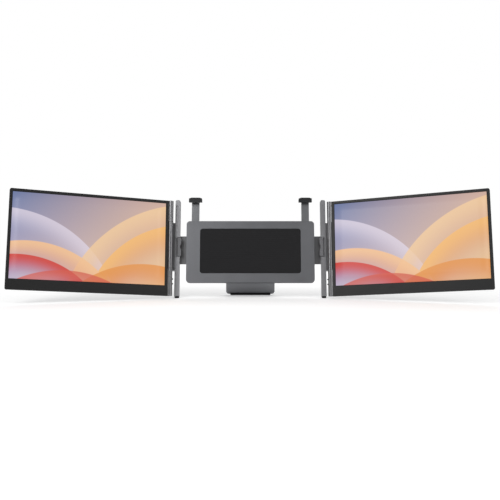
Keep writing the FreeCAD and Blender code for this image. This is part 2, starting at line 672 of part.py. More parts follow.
def make_clip(side):
    stem = new_body(f"{side}_clip_stem")
    inner = f"{CLIP_ACROSS} - dim.stem_half"
    outer = f"{CLIP_ACROSS} + dim.stem_half"
    stem_top = "dim.clip_leg_bottom + dim.stem_bury"
    outline = rectangle(inner, outer, "dim.stem_bottom", stem_top)
    add(stem, "depth", STEM_BACK, STEM_FRONT, outline, side=side)
    keep(stem, PANEL)

    clip = new_body(f"{side}_top_clip")
    roof = "dim.clip_top - dim.clip_roof"
    profile = [
        ("-dim.clip_back", "dim.clip_leg_bottom"),
        ("-dim.clip_leg_front", "dim.clip_leg_bottom"),
        ("-dim.clip_leg_front", roof),
        (LIP_BACK, roof),
        (LIP_BACK, "dim.clip_lip_bottom"),
        (LIP_FRONT, "dim.clip_lip_bottom"),
        (LIP_FRONT, "dim.clip_top"),
        ("-dim.clip_back", "dim.clip_top"),
    ]
    clip_inner = f"{CLIP_ACROSS} - dim.clip_half"
    clip_outer = f"{CLIP_ACROSS} + dim.clip_half"
    add(clip, "across", clip_inner, clip_outer, profile, side=side)
    for edge, direction in ((clip_inner, "+"), (clip_outer, "-")):
        shoulder = [
            (edge, "dim.clip_top"),
            (f"{edge} {direction} dim.clip_slope", "dim.clip_top"),
            (edge, "dim.clip_top - dim.clip_shoulder"),
        ]
        cut(clip, "depth", "-dim.clip_back", LIP_FRONT, shoulder, side=side)
    lip_low = cell("clip_lip_bottom")
    lip_face = value(LIP_FRONT)
    round_edges(clip, "dim.clip_round", BACKWARD, lambda across, depth, height: near(height, lip_low))
    top = cell("clip_top")

    def at_front_top(across, depth, height):
        return near(depth, lip_face) and near(height, top)

    round_edges(clip, "dim.clip_round / 2", ACROSS, at_front_top)
    socket = rectangle(inner, outer, STEM_BACK, STEM_FRONT)
    cut(clip, "height", "dim.clip_leg_bottom", stem_top, socket, side=side)
    keep(clip, PANEL)


def make_gripper(side):
    low = "dim.grip_bottom + dim.grip_end_gap"
    high = "dim.grip_top - dim.grip_end_gap"
    edge = "(dim.column_inner - dim.grip_reach)"
    pin = (GRIP_PIN_ACROSS, "dim.grip_pin_depth")
    hollow_across = f"{edge} + dim.grip_scallop_deep - dim.grip_scallop"
    hollow_height = f"({low} + {high}) / 2"
    edge_across = value(edge)

    body = new_body(f"{side}_gripper")
    add(body, "height", low, high, (*pin, "dim.grip_barrel"), side=side)
    web = f"{GRIP_PIN_ACROSS} - dim.grip_barrel"
    profile = [
        (edge, LIP_BACK),
        (web, LIP_BACK),
        (web, "dim.grip_pin_depth"),
        pin,
        (GRIP_PIN_ACROSS, LIP_FRONT),
        (edge, LIP_FRONT),
    ]
    add(body, "height", low, high, profile, side=side)
    cut(body, "height", low, high, (*pin, "dim.grip_pin_radius + dim.run_gap"), side=side)
    cut(body, "depth", LIP_BACK, LIP_FRONT, (hollow_across, hollow_height, "dim.grip_scallop"), side=side)
    round_edges(body, "dim.grip_round", BACKWARD, lambda across, depth, height: near(across, edge_across))
    keep(body, PANEL)

    pin_body = new_body(f"{side}_gripper_pin")
    low_end = "dim.grip_bottom - dim.grip_pin_end"
    high_end = "dim.grip_top + dim.grip_pin_end"
    add(pin_body, "height", low_end, high_end, (*pin, "dim.grip_pin_radius"), side=side)
    keep(pin_body, PANEL)

    pad = new_body(f"{side}_gripper_pad")
    inset = "dim.grip_pad_inset"
    outline = rectangle(f"{edge} + {inset}", "dim.column_inner", f"{low} + {inset}", f"{high} - {inset}")
    back = f"{LIP_BACK} - dim.grip_pad_thick"
    add(pad, "depth", back, LIP_BACK, outline, side=side)
    hollow = (hollow_across, hollow_height, f"dim.grip_scallop + {inset}")
    cut(pad, "depth", back, LIP_BACK, hollow, side=side)
    pad_edge = value(f"{edge} + {inset}")

    def at_pad_edge(across, depth, height):
        return near(across, pad_edge)

    round_edges(pad, f"dim.grip_round - {inset}", BACKWARD, at_pad_edge)
    keep(pad, PANEL)


# Monitor hinges
def make_hinge_barrel(side):
    axis = axis_depth(side)
    body = new_body(f"{side}_hinge_barrel")
    foot = rectangle(COLUMN_OUTER, HINGE_ACROSS, "-dim.column_back", "dim.hinge_post_front")
    web_inner = f"{HINGE_ACROSS} - dim.hinge_post_clear"
    web = rectangle(web_inner, HINGE_ACROSS, "dim.hinge_post_front", axis)
    barrel = (HINGE_ACROSS, axis, "dim.barrel_radius")
    for loop in (foot, web, barrel):
        add(body, "height", "dim.hinge_low", "dim.hinge_high", loop, side=side)
    bore = (HINGE_ACROSS, axis, "dim.bush_radius + dim.fit_gap")
    depth = "(dim.hinge_pin_in + dim.bore_spare)"
    cut(body, "height", "dim.hinge_low", f"dim.hinge_low + {depth}", bore, side=side)
    cut(body, "height", f"dim.hinge_high - {depth}", "dim.hinge_high", bore, side=side)
    keep(body, PANEL)

    bushes = []
    starts = ("dim.hinge_low + dim.bush_inset", "dim.hinge_high - dim.bush_inset - dim.bush_length")
    for number, start in enumerate(starts, start=1):
        bush = new_body(f"{side}_bush_{number}")
        outer = (HINGE_ACROSS, axis, "dim.bush_radius")
        hole = (HINGE_ACROSS, axis, "dim.hinge_pin_radius + dim.run_gap")
        add(bush, "height", start, f"{start} + dim.bush_length", outer, hole, side=side)
        bushes.append(bush)
    keep_group(f"{side}_hinge_bushes", PANEL, bushes)


def hinge_pin_spans():
    """Lower and upper ends of the two pins of a hinge."""
    return [
        ("dim.hinge_low - dim.hinge_pin_out", "dim.hinge_low + dim.hinge_pin_in"),
        ("dim.hinge_high - dim.hinge_pin_in", "dim.hinge_high + dim.hinge_pin_out"),
    ]


def make_hinge_strips(side):
    spans = (("dim.strip_bottom", LOW_STRIP_TOP), (HIGH_STRIP_BOTTOM, MONITOR_TOP))
    bore = ("0", "0", "dim.hinge_pin_radius + dim.fit_gap")
    strips = []
    for number, ((low, high), (pin_low, pin_high)) in enumerate(zip(spans, hinge_pin_spans()), start=1):
        strip = new_body(f"{side}_strip_{number}")
        add(strip, "height", low, high, ("0", "0", "dim.barrel_radius"), side=side)
        block = rectangle("0", "dim.strip_edge", MONITOR_BACK, "dim.monitor_front")
        add(strip, "height", low, high, block, side=side)
        if number == 1:
            cut(strip, "height", pin_low, high, bore, side=side)
            start = "-dim.barrel_radius - dim.button_out"
            end = f"{start} + dim.button_long + dim.button_travel + dim.button_gap"
            heights = ("dim.power_height", "dim.menu_height")
            holes = [("0", height, "dim.button_radius + dim.button_gap") for height in heights]
            cut(strip, "across", start, end, *holes, side=side)
        else:
            cut(strip, "height", low, pin_high, bore, side=side)
        strips.append(strip)
    keep_group(f"{side}_hinge_strips", MONITOR[side], strips)

    pins = []
    for number, (low, high) in enumerate(hinge_pin_spans(), start=1):
        pin = new_body(f"{side}_pin_{number}")
        add(pin, "height", low, high, ("0", "0", "dim.hinge_pin_radius"), side=side)
        pins.append(pin)
    keep_group(f"{side}_hinge_pins", MONITOR[side], pins)


def make_button(side, label, height):
    body = new_body(f"{side}_{label}_button")
    start = "-dim.barrel_radius - dim.button_out"
    add(body, "across", start, f"{start} + dim.button_long", ("0", height, "dim.button_radius"), side=side)
    tip = value("dim.barrel_radius + dim.button_out")
    rims = [
        f"Edge{number}"
        for number, edge in enumerate(body.Tip.Shape.Edges, start=1)
        if isinstance(edge.Curve, Part.Circle) and near(abs(edge.Curve.Center.x), tip)
    ]
    dress(body, "PartDesign::Fillet", "Radius", "dim.button_round", rims)
    keep(body, MONITOR[side])


# Monitors
def monitor_outline(inset):
    return rectangle(
        f"dim.monitor_inner + {inset}",
        f"{MONITOR_OUTER} - {inset}",
        f"dim.monitor_bottom + {inset}",
        f"{MONITOR_TOP} - {inset}",
    )


def round_monitor(body):
    outer = value(MONITOR_OUTER)
    round_edges(body, "dim.monitor_round", BACKWARD, lambda across, depth, height: near(across, outer))


def port_places():
    """Middle and half width of each socket."""
    return [
        ("dim.first_port", "dim.usb_half"),
        ("(dim.first_port + dim.port_step)", "dim.usb_half"),
        ("(dim.first_port + dim.port_step * 2)", "dim.video_half"),
    ]


def make_bezel_frame(side):
    body = new_body(f"{side}_bezel_frame")
    add(body, "depth", PART_LINE, "dim.monitor_front", monitor_outline("0"), side=side)
    round_monitor(body)
    cut(body, "depth", PART_LINE, BEZEL_BACK, monitor_outline("dim.frame_wall"), side=side)
    window = rectangle(PICTURE_INNER, PICTURE_OUTER, PICTURE_LOW, PICTURE_HIGH)
    cut(body, "depth", BEZEL_BACK, "dim.monitor_front", window, side=side)
    bosses = [(across, "dim.fixing_height", "dim.fixing_boss") for across in FIXINGS]
    add(body, "depth", PART_LINE, BEZEL_BACK, *bosses, side=side)
    bores = [(across, "dim.fixing_height", "dim.fixing_shank + dim.fit_gap") for across in FIXINGS]
    cut(body, "depth", PART_LINE, f"{PART_LINE} + dim.fixing_bite", *bores, side=side)
    slots = []
    for middle, half in port_places():
        reach = f"({half} + dim.port_gap)"
        front = f"{PART_LINE} + dim.port_tall + dim.port_gap"
        slots.append(rectangle(f"{middle} - {reach}", f"{middle} + {reach}", PART_LINE, front))
    cut(body, "height", "dim.monitor_bottom", "dim.monitor_bottom + dim.frame_wall", *slots, side=side)
    keep(body, MONITOR[side])


def make_display(side):
    panel = new_body(f"{side}_display_panel")
    margin = "dim.glass_margin"
    outline = rectangle(
        f"{PICTURE_INNER} - {margin}",
        f"{PICTURE_OUTER} + {margin}",
        f"{PICTURE_LOW} - {margin}",
        f"{PICTURE_HIGH} + {margin}",
    )
    add(panel, "depth", GLASS_BACK, GLASS_FRONT, outline, side=side)
    keep(panel, MONITOR[side])

    light = new_body(f"{side}_backlight")
    edge = "(dim.glass_margin - dim.light_inset)"
    outline = rectangle(
        f"{PICTURE_INNER} - {edge}",
        f"{PICTURE_OUTER} + {edge}",
        f"{PICTURE_LOW} - {edge}",
        f"{PICTURE_HIGH} + {edge}",
    )
    add(light, "depth", LIGHT_BACK, LIGHT_FRONT, outline, side=side)
    keep(light, MONITOR[side])


def make_rear_cover(side):
    body = new_body(f"{side}_rear_cover")
    add(body, "depth", MONITOR_BACK, COVER_FRONT, monitor_outline("0"), side=side)
    round_monitor(body)
    rear = value(MONITOR_BACK)
    rim = [
        f"Edge{number}"
        for number, edge in enumerate(body.Tip.Shape.Edges, start=1)
        if near(edge.BoundBox.YMin, -rear) and near(edge.BoundBox.YMax, -rear)
    ]
    dress(body, "PartDesign::Chamfer", "Size", "dim.cover_chamfer", rim)
    cut(body, "depth", COVER_FLOOR, COVER_FRONT, monitor_outline("dim.frame_wall"), side=side)
    bosses = [(across, "dim.fixing_height", "dim.fixing_boss") for across in FIXINGS]
    add(body, "depth", COVER_FLOOR, COVER_FRONT, *bosses, side=side)
    shanks = [(across, "dim.fixing_height", "dim.fixing_shank + dim.fit_gap") for across in FIXINGS]
    cut(body, "depth", MONITOR_BACK, COVER_FRONT, *shanks, side=side)
    heads = [(across, "dim.fixing_height", "dim.fixing_head + dim.fit_gap") for across in FIXINGS]
    cut(body, "depth", MONITOR_BACK, f"{MONITOR_BACK} + dim.fixing_head_thick", *heads, side=side)
    keep(body, MONITOR[side])


def make_cover_screws(side):
    screws = []
    neck = f"{MONITOR_BACK} + dim.fixing_head_thick"
    for number, across in enumerate(FIXINGS, start=1):
        screw = new_body(f"{side}_cover_screw_{number}")
        add(screw, "depth", MONITOR_BACK, neck, (across, "dim.fixing_height", "dim.fixing_head"), side=side)
        shank = (across, "dim.fixing_height", "dim.fixing_shank")
        add(screw, "depth", neck, f"{PART_LINE} + dim.fixing_bite", shank, side=side)
        screws.append(screw)
    keep_group(f"{side}_cover_screws", MONITOR[side], screws)


def make_electronics(side):
    board = new_body(f"{side}_driver_board")
    end = "dim.board_start + dim.board_long"
    outline = rectangle("dim.board_start", end, "dim.board_low", "dim.board_high")
    add(board, "depth", BOARD_BACK, BOARD_FRONT, outline, side=side)
    keep(board, MONITOR[side])

    ports = []
    low = "dim.monitor_bottom + dim.port_inset"
    for number, (middle, half) in enumerate(port_places(), start=1):
        port = new_body(f"{side}_port_{number}")
        high = f"{low} + dim.port_deep"
        wall = "dim.port_wall"
        front = f"{BOARD_FRONT} + dim.port_tall"
        shell = rectangle(f"{middle} - {half}", f"{middle} + {half}", BOARD_FRONT, front)
        mouth = rectangle(
            f"{middle} - {half} + {wall}",
            f"{middle} + {half} - {wall}",
            f"{BOARD_FRONT} + {wall}",
            f"{front} - {wall}",
        )
        tongue = rectangle(
            f"{middle} - {half} + dim.port_tongue",
            f"{middle} + {half} - dim.port_tongue",
            f"{BOARD_FRONT} + dim.port_tall / 2 - {wall}",
            f"{BOARD_FRONT} + dim.port_tall / 2 + {wall}",
        )
        add(port, "height", low, high, shell, side=side)
        cut(port, "height", low, f"{high} - dim.frame_wall", mouth, side=side)
        add(port, "height", f"{low} + {wall}", high, tongue, side=side)
        ports.append(port)
    keep_group(f"{side}_ports", MONITOR[side], ports)


make_front_plate()
make_rear_shell()
make_rest_pad()
make_arm_rails()
make_centre_screws()
make_kickstand()
for side in SIDES:
    make_arm(side)
    make_slide_spring(side)
    make_column(side)
    make_column_cover(side)
    make_column_foot(side)
    make_clip(side)
    make_gripper(side)
    make_hinge_barrel(side)
    make_hinge_strips(side)
    make_button(side, "power", "dim.power_height")
    make_button(side, "menu", "dim.menu_height")
    make_bezel_frame(side)
    make_display(side)
    make_rear_cover(side)
    make_cover_screws(side)
    make_electronics(side)
doc.recompute()

for item in doc.Objects:
    if "Invalid" in item.State or "Error" in item.State:
        raise RuntimeError(f"{item.Name} did not build")
for piece in nodes:
    if piece.Shape.isNull() or not piece.Shape.isValid():
        raise RuntimeError(f"{piece.Label} has no valid shape")

os.makedirs("parts", exist_ok=True)
for piece in nodes:
    piece.Shape.exportStep(f"parts/{piece.Label}.step")
    print(piece.Label, len(piece.Shape.Solids), round(piece.Shape.Volume / 1000, 2), "cm3")
print(len(nodes), "nodes")
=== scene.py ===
import math

import bpy
import numpy as np
from bpy.props import FloatProperty, FloatVectorProperty, IntProperty, PointerProperty
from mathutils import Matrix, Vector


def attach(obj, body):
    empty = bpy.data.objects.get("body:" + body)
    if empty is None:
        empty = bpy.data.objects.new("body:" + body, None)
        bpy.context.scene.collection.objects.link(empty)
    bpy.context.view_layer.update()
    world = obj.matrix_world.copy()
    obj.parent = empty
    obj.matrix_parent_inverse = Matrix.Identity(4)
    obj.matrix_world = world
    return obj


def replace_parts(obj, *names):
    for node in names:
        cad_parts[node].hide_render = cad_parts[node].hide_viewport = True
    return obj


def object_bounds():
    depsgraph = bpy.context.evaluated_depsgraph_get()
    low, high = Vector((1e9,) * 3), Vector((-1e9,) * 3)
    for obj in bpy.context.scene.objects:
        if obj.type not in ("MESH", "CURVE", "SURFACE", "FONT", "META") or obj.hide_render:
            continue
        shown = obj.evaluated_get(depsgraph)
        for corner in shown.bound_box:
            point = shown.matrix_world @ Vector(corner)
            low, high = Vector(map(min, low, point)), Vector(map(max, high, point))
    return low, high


bl_info = {
    "name": "Fold-out Screen Extender",
    "version": (1, 0, 0),
    "blender": (4, 5, 0),
    "location": "3D View > Sidebar > Extender",
    "description": "Dresses the packed screen extender with its finishes, pictures, mat and screws",
    "category": "Object",
}

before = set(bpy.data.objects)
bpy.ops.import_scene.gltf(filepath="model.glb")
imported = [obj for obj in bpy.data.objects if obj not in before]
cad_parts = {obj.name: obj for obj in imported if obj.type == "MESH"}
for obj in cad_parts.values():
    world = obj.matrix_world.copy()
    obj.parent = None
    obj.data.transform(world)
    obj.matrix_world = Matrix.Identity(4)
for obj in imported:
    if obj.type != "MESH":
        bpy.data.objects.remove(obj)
CAD_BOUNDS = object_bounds()
MM = 0.001
SIDES = ("left", "right")
# Frame of the reference view in pixels, and the focal length that was fitted in them.
VIEW_PIXELS = 500
FOCAL_PIXELS = 791.36
SENSOR_MM = 36.0
CAMERA_PLACE = (-0.0009, -1.8489, 0.0824)
SMOOTH_ANGLE = math.radians(35)
WHITE = (1, 1, 1, 1)
NO_CAPS = np.empty((0, 4), int)


def linear(hex_text):
    """Linear RGB of an sRGB hex colour: v/12.92 below 0.04045, else ((v + 0.055)/1.055)^2.4."""
    values = np.array([int(hex_text[i : i + 2], 16) / 255 for i in (1, 3, 5)])
    curved = ((values + 0.055) / 1.055) ** 2.4
    return tuple(np.where(values <= 0.04045, values / 12.92, curved).tolist())


def colour_property(name, hex_text, description):
    return FloatVectorProperty(
        name=name, description=description, subtype="COLOR", size=3, min=0, max=1, default=linear(hex_text)
    )


def length_property(name, millimetres, description):
    return FloatProperty(
        name=name, description=description, subtype="DISTANCE", unit="LENGTH", default=millimetres * MM
    )


def share_property(name, share, description):
    return FloatProperty(name=name, description=description, subtype="FACTOR", min=0, max=1, default=share)


class ExtenderFinish(bpy.types.PropertyGroup):
    """Colours of the extender's finishes."""

    column_metal: colour_property("Columns", "#b0b0b3", "Anodised aluminium of the columns and covers")
    hinge_metal: colour_property("Hinges", "#868688", "Brushed aluminium of the barrels, strips and arms")
    body_metal: colour_property("Centre plate", "#929397", "Anodised aluminium of the centre plate")
    bezel_black: colour_property("Bezels", "#0c0c0d", "Moulded ABS round the pictures")
    clip_black: colour_property("Clips", "#1d1f21", "Moulded nylon of the top clips")
    cover_grey: colour_property("Rear covers", "#3b3c40", "Moulded ABS of the rear covers")
    shell_grey: colour_property("Rear shell", "#313236", "Moulded ABS of the centre shell")
    grip_grey: colour_property("Grippers", "#6b6b6e", "Moulded nylon of the grippers")
    rubber_black: colour_property("Rubber", "#1a1a1c", "Moulded rubber of the mat and feet")


class ExtenderPicture(bpy.types.PropertyGroup):
    """Colours, brightness and edges of the pictures on the side displays."""

    top_left: colour_property("Upper left", "#6b7aa2", "Slate blue corner of the picture")
    top_right: colour_property("Upper right", "#cfae9f", "Peach corner of the picture")
    bottom_left: colour_property("Lower left", "#bdb2c8", "Lilac corner of the picture")
    bottom_right: colour_property("Lower right", "#e9c08d", "Pale yellow corner of the picture")
    glow: share_property("Glow", 1.0, "Light that the display gives, where 1 is white")
    glass_lap: length_property("Glass lap", 2.0, "Display glass behind each side of the bezel")
    margin: length_property("Margin", 0.3, "Black border of the glass round the picture")
    lift: length_property("Lift", 0.12, "Front of the film before the glass")
    film: length_property("Film", 0.08, "Thickness of the picture film")


class ExtenderDetail(bpy.types.PropertyGroup):
    """Sizes of the modelled details."""

    edge: length_property("Edge", 0.35, "Rounding of moulded edges")
    gasket_wide: length_property("Gasket width", 0.9, "Width of the foam gasket round the glass")
    gasket_high: length_property("Gasket height", 0.95, "Height of the foam gasket at the bezel")
    washer_inner: length_property("Washer bore", 2.9, "Inner radius of a hinge washer")
    washer_outer: length_property("Washer rim", 5.45, "Outer radius of a hinge washer")
    washer_thick: length_property("Washer", 0.24, "Thickness of a hinge washer")
    rib_step: length_property("Rib step", 5.0, "Rib spacing of the mat")
    rib_deep: length_property("Rib depth", 0.35, "Groove depth of the mat")
    mat_round: length_property("Mat corner", 6.0, "Corner radius of the mat")
    mat_border: length_property("Mat border", 4.0, "Plain border of the mat")
    mat_bend: length_property("Mat edge", 0.9, "Edge radius of the mat")
    socket: share_property("Hex socket", 0.5, "Share of a screw head that its hex socket takes")
    vent_rows: IntProperty(name="Vent rows", description="Louvres in each upright row", default=8, min=1)
    vent_step: length_property("Vent step", 5.0, "Louvre spacing")
    vent_long: length_property("Vent length", 46.0, "Length of a louvre")
    vent_tall: length_property("Vent height", 3.2, "Height of a louvre")
    vent_proud: length_property("Vent hood", 0.4, "How far a louvre's hood stands out")
    vent_across: length_property("Vent place", 62.0, "Middle of a row of louvres from the monitor's middle")
    vent_drop: length_property("Vent drop", 26.0, "Top louvre below the monitor's upper edge")


class ExtenderStage(bpy.types.PropertyGroup):
    """Light, floor and camera."""

    pitch: FloatProperty(name="Pitch", description="Camera pitch", subtype="ANGLE", default=math.radians(2.5))
    sky: share_property("Sky", 0.62, "Soft light from all round")
    gloss_sky: share_property("Reflected sky", 0.24, "Sky as the finishes reflect it")
    floor_glow: share_property("Floor glow", 0.28, "Lift of the floor's white in view")
    key: FloatProperty(name="Key", description="Power of the key light", unit="POWER", default=17.0)
    fill: FloatProperty(name="Fill", description="Power of the fill light", unit="POWER", default=9.0)
    back: FloatProperty(name="Back", description="Power of the light behind", unit="POWER", default=12.0)
    clear_start: length_property("Clear from", 900.0, "Distance at which the floor begins to fade to white")
    clear_end: length_property("Clear to", 2100.0, "Distance at which the floor is plain white in view")


def add_node(tree, kind, settings=None, sockets=None):
    """Adds a node: settings are its properties, sockets are values or outputs to link from."""
    node = tree.nodes.new(kind)
    for name, setting in (settings or {}).items():
        setattr(node, name, setting)
    for name, source in (sockets or {}).items():
        if isinstance(source, bpy.types.NodeSocket):
            tree.links.new(source, node.inputs[name])
        else:
            node.inputs[name].default_value = source
    return node


def new_material(name):
    material = bpy.data.materials.new(name)
    material.use_nodes = True
    material.node_tree.nodes.clear()
    return material, material.node_tree


def rgba(colour, gain=1.0):
    return tuple(min(1.0, channel * gain) for channel in colour) + (1.0,)


def ranged(tree, value, source, target, kind="LINEAR"):
    """Carries a value from one (low, high) pair to another and holds it there."""
    sockets = {"Value": value, "From Min": source[0], "From Max": source[1]}
    sockets.update({"To Min": target[0], "To Max": target[1]})
    return add_node(tree, "ShaderNodeMapRange", {"interpolation_type": kind}, sockets).outputs[0]


def blended(tree, factor, first, second):
    """Colour mix: first where the factor is 0, second where it is 1."""
    sockets = {0: factor, 6: first, 7: second}
    return add_node(tree, "ShaderNodeMix", {"data_type": "RGBA"}, sockets).outputs[2]


def maths(tree, operation, first, second):
    return add_node(tree, "ShaderNodeMath", {"operation": operation}, {0: first, 1: second}).outputs[0]


def noise(tree, place, spacing, detail):
    sockets = {"Vector": place, "Scale": 1 / spacing, "Detail": detail}
    return add_node(tree, "ShaderNodeTexNoise", sockets=sockets).outputs["Fac"]


# Spacing of the soft mottling, and how far the roughness strays with it.
MOTTLE_SPACING = 40 * MM
POLISH_SPREAD = 0.05
# Cosine of the angle between rounded and flat normal where the painted edge highlight starts and where it is
# full.
HIGHLIT_EDGE_BAND = (0.97, 0.80)
# How many times paler the painted highlight makes an edge at its full strength.
HIGHLIT_EDGE_GAIN = 2.2
# Middle band of the noise, which fills the whole range of the specks.
SPECK_BAND = (0.35, 0.65)
UNIT = (0.0, 1.0)


def made_surface(name, colour, roughness, grain, depth, ior=None, stretch=(1, 1, 1), mottle=0.06, edge_highlight=0.12):
    """Surface with grain, soft mottling, softened edges and a painted highlight that makes the edges paler; a
    metal has no ior.

    grain is the spacing of the surface texture in metres and depth its height. stretch lengthens the
    grain along an axis, as brushing does. The painted edge highlight shows where the rounded normal leaves
    the flat one.
    """
    material, tree = new_material(name)
    place = add_node(tree, "ShaderNodeTexCoord").outputs["Object"]
    drawn = add_node(tree, "ShaderNodeMapping", sockets={"Vector": place, "Scale": stretch}).outputs["Vector"]
    fine = noise(tree, drawn, grain, 3.0)
    broad = noise(tree, place, MOTTLE_SPACING, 2.0)
    edge = bpy.context.scene.extender_detail.edge
    soft = add_node(tree, "ShaderNodeBevel", {"samples": 4}, {"Radius": edge}).outputs[0]
    flat = add_node(tree, "ShaderNodeNewGeometry").outputs["Normal"]
    bent = add_node(tree, "ShaderNodeVectorMath", {"operation": "DOT_PRODUCT"}, {0: soft, 1: flat})
    # Painted highlight: the colour turns paler at the edges, where the rounded normal leaves the flat one.
    highlit_edge = ranged(tree, bent.outputs["Value"], HIGHLIT_EDGE_BAND, (0.0, edge_highlight))
    shades = (1 - mottle, 1 + mottle)
    spread = blended(tree, broad, rgba(colour, shades[0]), rgba(colour, shades[1]))
    specks = ranged(tree, fine, SPECK_BAND, shades)
    speckled = add_node(tree, "ShaderNodeVectorMath", {"operation": "SCALE"}, {0: spread, "Scale": specks})
    # Painted highlight: the base colour is mixed towards a paler copy of itself along the edges.
    colour_and_highlight = blended(tree, highlit_edge, speckled.outputs[0], rgba(colour, HIGHLIT_EDGE_GAIN))
    polish = ranged(tree, broad, UNIT, (roughness - POLISH_SPREAD, roughness + POLISH_SPREAD))
    grooves = {"Height": fine, "Distance": depth, "Strength": 1.0, "Normal": soft}
    bump = add_node(tree, "ShaderNodeBump", sockets=grooves).outputs[0]
    sockets = {"Base Color": colour_and_highlight, "Roughness": polish, "Normal": bump}
    sockets.update({"Metallic": 1.0} if ior is None else {"IOR": ior})
    shader = add_node(tree, "ShaderNodeBsdfPrincipled", sockets=sockets)
    add_node(tree, "ShaderNodeOutputMaterial", sockets={"Surface": shader.outputs[0]})
    return material


def anodised_aluminium(name, colour):
    # Bead-blasted and anodised aluminium: an even satin grey with a fine sparkle. The 0.1 mm blast
    # grain is drawn at 0.9 mm so that it shows.
    return made_surface(name, colour, 0.42, 0.9 * MM, 0.02 * MM, mottle=0.04, edge_highlight=0.25)


def brushed_aluminium(name, colour):
    # Extruded aluminium brushed along its length: fine upright lines 0.5 mm apart under a satin shine.
    return made_surface(name, colour, 0.34, 0.5 * MM, 0.015 * MM, stretch=(1, 1, 0.04), edge_highlight=0.25)


def moulded_abs(name, colour):
    # Spark-eroded ABS: a dull plastic with a leathery 0.8 mm texture and slightly paler edges, a painted
    # highlight.
    return made_surface(name, colour, 0.48, 0.8 * MM, 0.02 * MM, ior=1.54, edge_highlight=0.08)


def moulded_nylon(name, colour):
    # Glass-filled nylon: a tough half-dull plastic with pale fibres just under its skin.
    return made_surface(name, colour, 0.42, 1.1 * MM, 0.03 * MM, ior=1.53, stretch=(1, 1, 0.5), mottle=0.10)


def moulded_rubber(name, colour):
    # Silicone rubber: nearly black, fully dull, with a soft matt bloom and no painted edge highlight.
    return made_surface(name, colour, 0.78, 1.3 * MM, 0.05 * MM, ior=1.41, mottle=0.12, edge_highlight=0.0)


def foam_tape(name):
    # Closed-cell foam of the glass gasket: black and dull, with small pores.
    return made_surface(name, linear("#121213"), 0.85, 0.5 * MM, 0.05 * MM, ior=1.45, mottle=0.15, edge_highlight=0.0)


def acetal_resin(name):
    # Acetal hinge washers: black, waxy and smooth.
    return made_surface(name, linear("#18181a"), 0.35, 0.9 * MM, 0.01 * MM, ior=1.48, mottle=0.05, edge_highlight=0.05)


def bright_steel(name):
    # Stamped stainless steel: bright, with close upright lines.
    colour = linear("#a9abae")
    return made_surface(name, colour, 0.32, 0.4 * MM, 0.008 * MM, stretch=(1, 1, 0.1), mottle=0.03)


def sintered_bronze(name):
    # Oil-filled bronze of the bushes: warm brown metal with open pores.
    return made_surface(name, linear("#a8824a"), 0.45, 0.6 * MM, 0.04 * MM, mottle=0.10)


def glass_epoxy(name):
    # Green solder mask over glass-epoxy board: smooth, with the weave of the glass showing through.
    return made_surface(name, linear("#1d5a3a"), 0.30, 1.5 * MM, 0.02 * MM, ior=1.55, mottle=0.10, edge_highlight=0.0)


def diffuser_film(name):
    # White polyester diffuser sheets of the backlight: bright and even, with a silky surface.
    return made_surface(name, linear("#e4e6ea"), 0.50, 0.7 * MM, 0.01 * MM, ior=1.64, mottle=0.02, edge_highlight=0.0)


def black_glass(name):
    # Anti-glare coated display glass: black, with a broad soft reflection.
    return made_surface(name, linear("#121215"), 0.25, 0.6 * MM, 0.004 * MM, ior=1.52, mottle=0.03, edge_highlight=0.0)


# Width and height of the picture, and the fading rim of its arcs, in picture heights.
PICTURE_SHAPE = (16 / 9, 1.0, 0.0)
ARC_RIM = 0.006
# Arcs of the picture: centre, radius and width in picture heights, inner and outer colour, cover.
ARCS = (
    ((-0.10, -0.55), 1.36, 0.34, "#aeb0d0", "#e6dae4", 0.75),
    ((2.15, -0.62), 1.62, 0.46, "#dba98c", "#efcb9c", 0.85),
    ((2.05, -0.48), 1.22, 0.40, "#dd8838", "#efb973", 0.95),
    ((0.20, -0.72), 1.16, 0.34, "#d87a55", "#eec092", 0.95),
    ((0.10, -0.80), 1.08, 0.30, "#9f5089", "#cf3f2c", 0.95),
    ((1.55, -1.02), 1.26, 0.36, "#cf643c", "#e2984d", 0.90),
    ((0.62, -1.10), 1.22, 0.30, "#b15c78", "#d65a36", 0.80),
)


